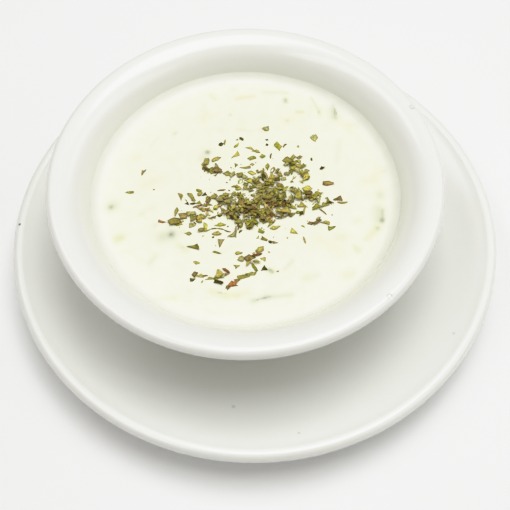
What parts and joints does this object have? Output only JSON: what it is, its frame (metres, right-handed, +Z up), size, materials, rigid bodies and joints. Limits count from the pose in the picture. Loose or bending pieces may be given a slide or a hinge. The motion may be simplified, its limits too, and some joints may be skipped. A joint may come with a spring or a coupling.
{
  "type": "tzatziki dip",
  "caption": "Tzatziki with cucumber shreds and dried herbs, served in a white porcelain bowl with a flared rim, on its matching saucer.",
  "frame": {"origin": "under the middle of the saucer, on the surface that it stands on", "axes": "+Z up along the saucer's axis; the bowl stands 2.5 mm towards -X of it; the front of the dish is at -Y"},
  "size_m": [0.156, 0.156, 0.0474],
  "materials": {
    "saucer_porcelain": "smooth glossy white glaze",
    "bowl_porcelain": "smooth glossy white glaze",
    "tzatziki": "thick, moist, creamy white yoghurt with a soft sheen",
    "cucumber": "moist green shreds under a thin veil of cream",
    "dried_herbs": "dry, crumpled olive green leaf flakes"
  },
  "bodies": {
    "root": {"saucer": "saucer_porcelain", "bowl": "bowl_porcelain", "tzatziki": "tzatziki"}
  },
  "joints": []
}
